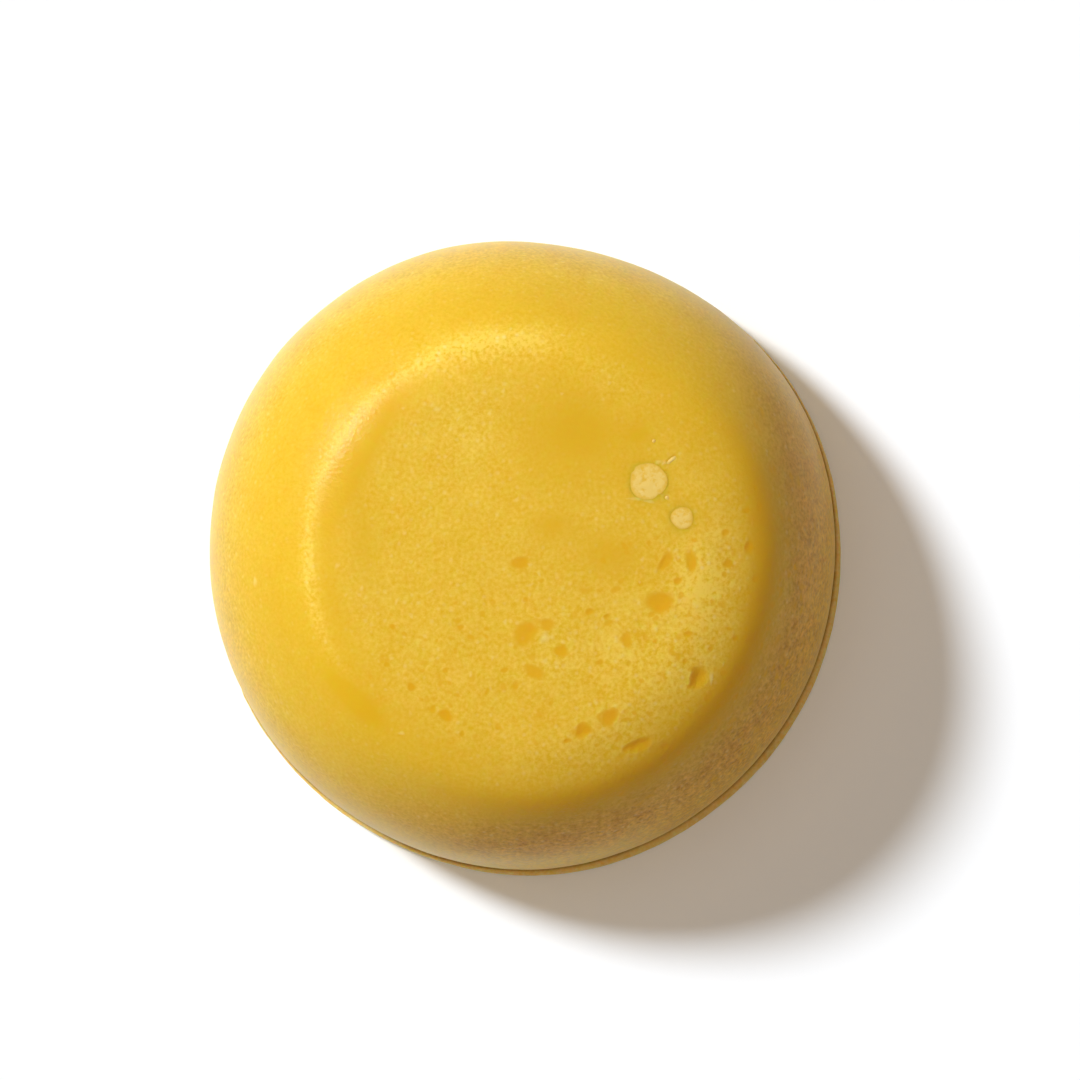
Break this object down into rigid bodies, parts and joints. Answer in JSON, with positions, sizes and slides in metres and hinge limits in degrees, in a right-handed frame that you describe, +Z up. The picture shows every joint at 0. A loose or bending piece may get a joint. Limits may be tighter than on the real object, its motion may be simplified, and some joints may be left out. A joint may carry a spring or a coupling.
{
  "type": "shaving soap puck",
  "caption": "Round cake of hard shaving soap with a slightly crowned, bubble-pitted face, wide round shoulders, flush pale flakes and a thin base pour; rests on its flat underside.",
  "frame": {"origin": "middle of the puck's outline, on the flat underside that it rests on", "axes": "+Z up, square to the underside; +X to the right and +Y to the top of the face, as it is seen from above"},
  "size_m": [0.0706, 0.0704, 0.0285],
  "materials": {
    "amber_soap": "waxy translucent hard soap, satin, with a fine frosty grain",
    "base_soap": "waxy translucent hard soap, satin, slightly deeper in colour",
    "pale_flake": "pale, more opaque soap flake, satin"
  },
  "bodies": {
    "root": {"soap_body": "amber_soap", "base_layer": "base_soap", "large_flake": "pale_flake", "small_flake": "pale_flake", "sliver": "pale_flake", "grains": "pale_flake"}
  },
  "joints": []
}
